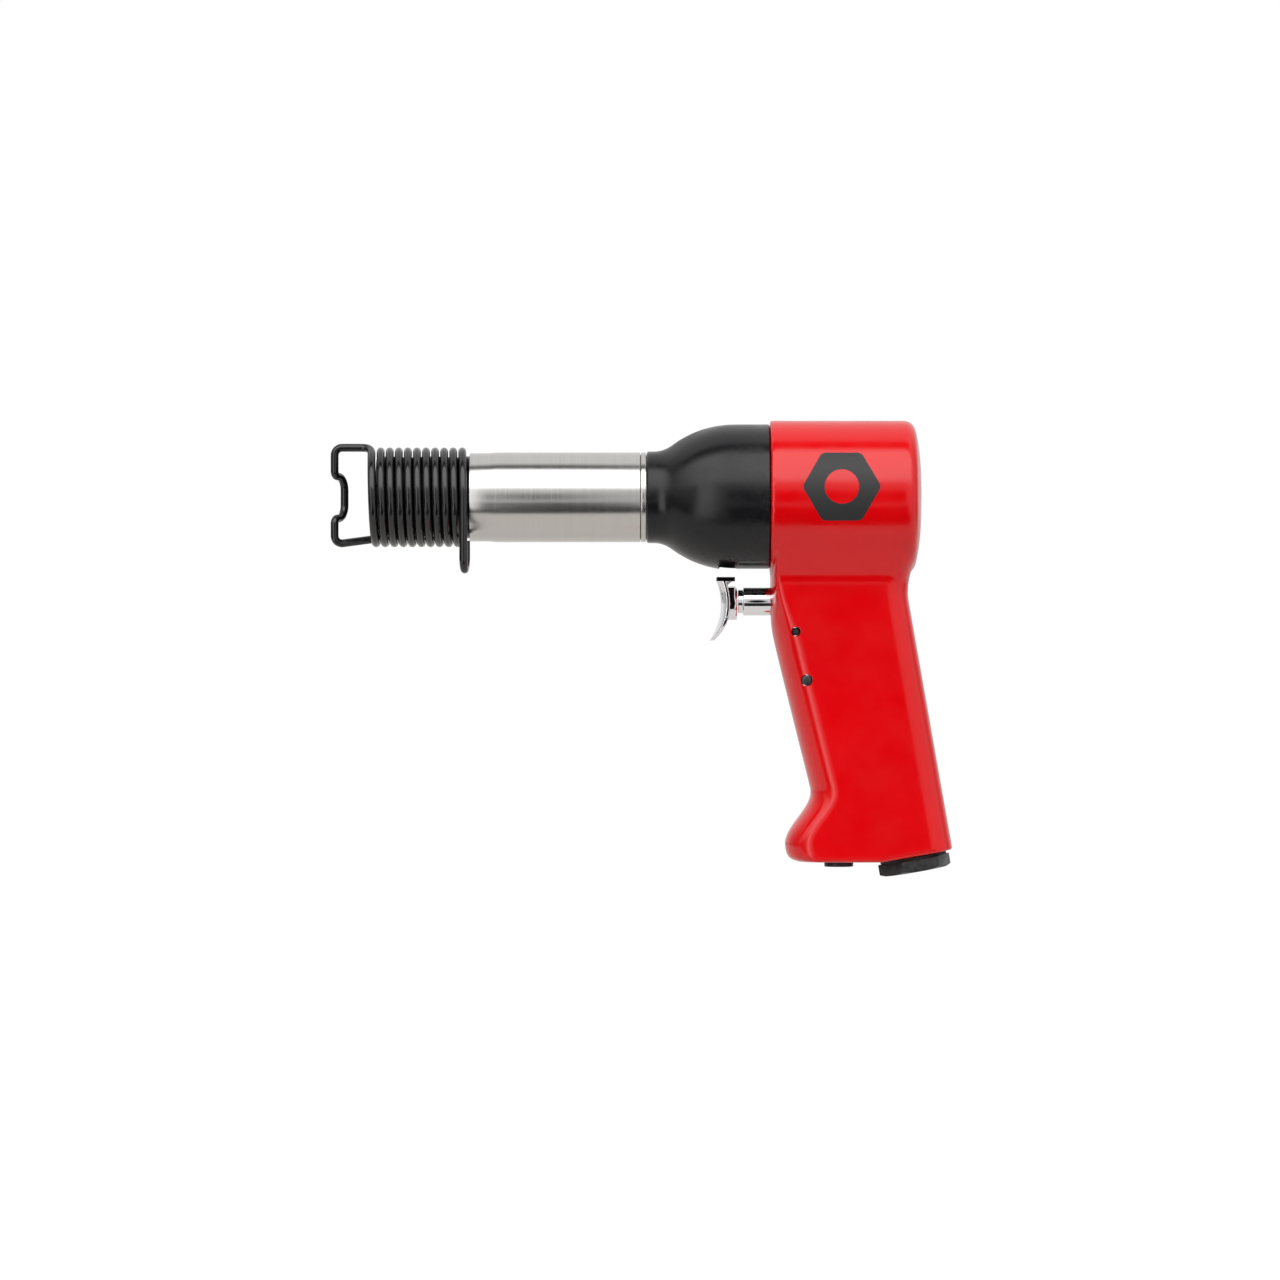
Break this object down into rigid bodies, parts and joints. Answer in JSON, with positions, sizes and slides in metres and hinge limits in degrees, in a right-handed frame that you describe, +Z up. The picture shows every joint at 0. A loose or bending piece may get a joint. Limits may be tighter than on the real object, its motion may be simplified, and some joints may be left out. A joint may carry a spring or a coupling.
{
  "type": "pneumatic air hammer",
  "caption": "Pistol-grip pneumatic air hammer with a coil spring chisel retainer, steel barrel, bell exhaust sleeve and one-piece handle casting.",
  "frame": {"origin": "centre of the small flat on the back of the head, on the barrel axis", "axes": "+X from the nose to the back of the head along the barrel axis, +Z up, away from the grip, +Y to the right hand seen from behind the tool"},
  "size_m": [0.2481, 0.0612, 0.182],
  "materials": {
    "red_enamel": "smooth glossy red enamel on an aluminium casting",
    "satin_steel": "turned and brushed steel",
    "hardened_steel": "ground, darker hardened steel",
    "polished_chrome": "polished chrome plate",
    "sleeve_black": "satin black coating on steel",
    "spring_black": "black oxide and oil on spring wire",
    "fitting_black": "black oxide steel",
    "valve_brass": "machined brass",
    "seal_rubber": "matte black rubber"
  },
  "bodies": {
    "handle": {"handle_casting": "red_enamel", "barrel": "satin_steel", "chisel_bush": "hardened_steel", "barrel_ring": "satin_steel", "bell_sleeve": "sleeve_black", "valve_box": "hardened_steel", "valve_cap": "hardened_steel", "valve_dowel": "hardened_steel", "valve_gasket": "seal_rubber", "lever_pivot_pin": "hardened_steel", "spring_rest_pin": "hardened_steel", "throttle_seat": "hardened_steel", "throttle_spring": "hardened_steel", "inlet_bushing": "fitting_black", "inlet_seal": "seal_rubber", "inlet_screen": "valve_brass"},
    "trigger": {"trigger_blade": "polished_chrome", "trigger_plunger": "polished_chrome", "plunger_seal": "seal_rubber"},
    "lever": {"throttle_lever": "hardened_steel"},
    "valve": {"throttle_valve": "valve_brass"},
    "hammer_piston": {"piston": "hardened_steel"},
    "shuttle": {"valve_shuttle": "valve_brass"},
    "regulator": {"regulator_spindle": "fitting_black", "regulator_seal": "seal_rubber"},
    "retainer": {"retainer_coil": "spring_black"},
    "loop": {"retainer_loop": "spring_black"}
  },
  "joints": [
    {"name": "trigger_pull", "type": "slide", "parent": "handle", "child": "trigger", "axis": [1, 0, 0], "range_m": [0, 0.005], "stiffness_N_per_m": 600, "springref_m": -0.01},
    {"name": "lever_rock", "type": "hinge", "parent": "handle", "child": "lever", "pos_m": [-0.0501, 0, -0.0537], "axis": [0, 1, 0], "range_deg": [0, 23.4]},
    {"name": "valve_lift", "type": "slide", "parent": "handle", "child": "valve", "axis": [0.2164, 0, -0.9763], "range_m": [0, 0.0016], "deforming": ["throttle_spring"]},
    {"name": "piston_stroke", "type": "slide", "parent": "handle", "child": "hammer_piston", "axis": [1, 0, 0], "range_m": [0, 0.089]},
    {"name": "shuttle_shift", "type": "slide", "parent": "handle", "child": "shuttle", "axis": [1, 0, 0], "range_m": [0, 0.002]},
    {"name": "regulator_turn", "type": "hinge", "parent": "handle", "child": "regulator", "pos_m": [-0.0326, 0, -0.1454], "axis": [0, 0, 1], "range_deg": [0, 180]},
    {"name": "retainer_turn", "type": "hinge", "parent": "handle", "child": "retainer", "pos_m": [-0.2, 0, 0], "axis": [1, 0, 0], "continuous": true},
    {"name": "loop_swing", "type": "hinge", "parent": "retainer", "child": "loop", "pos_m": [-0.2234, 0, 0.0198], "axis": [1, 0, 0], "range_deg": [0, 30], "stiffness_Nm_per_rad": 0.4, "springref_deg": -11.46}
  ],
  "couplings": [
    {"joint": "lever_rock", "follows": "trigger_pull", "rad_per_m": 81.4},
    {"joint": "valve_lift", "follows": "trigger_pull", "ratio": 0.316}
  ]
}
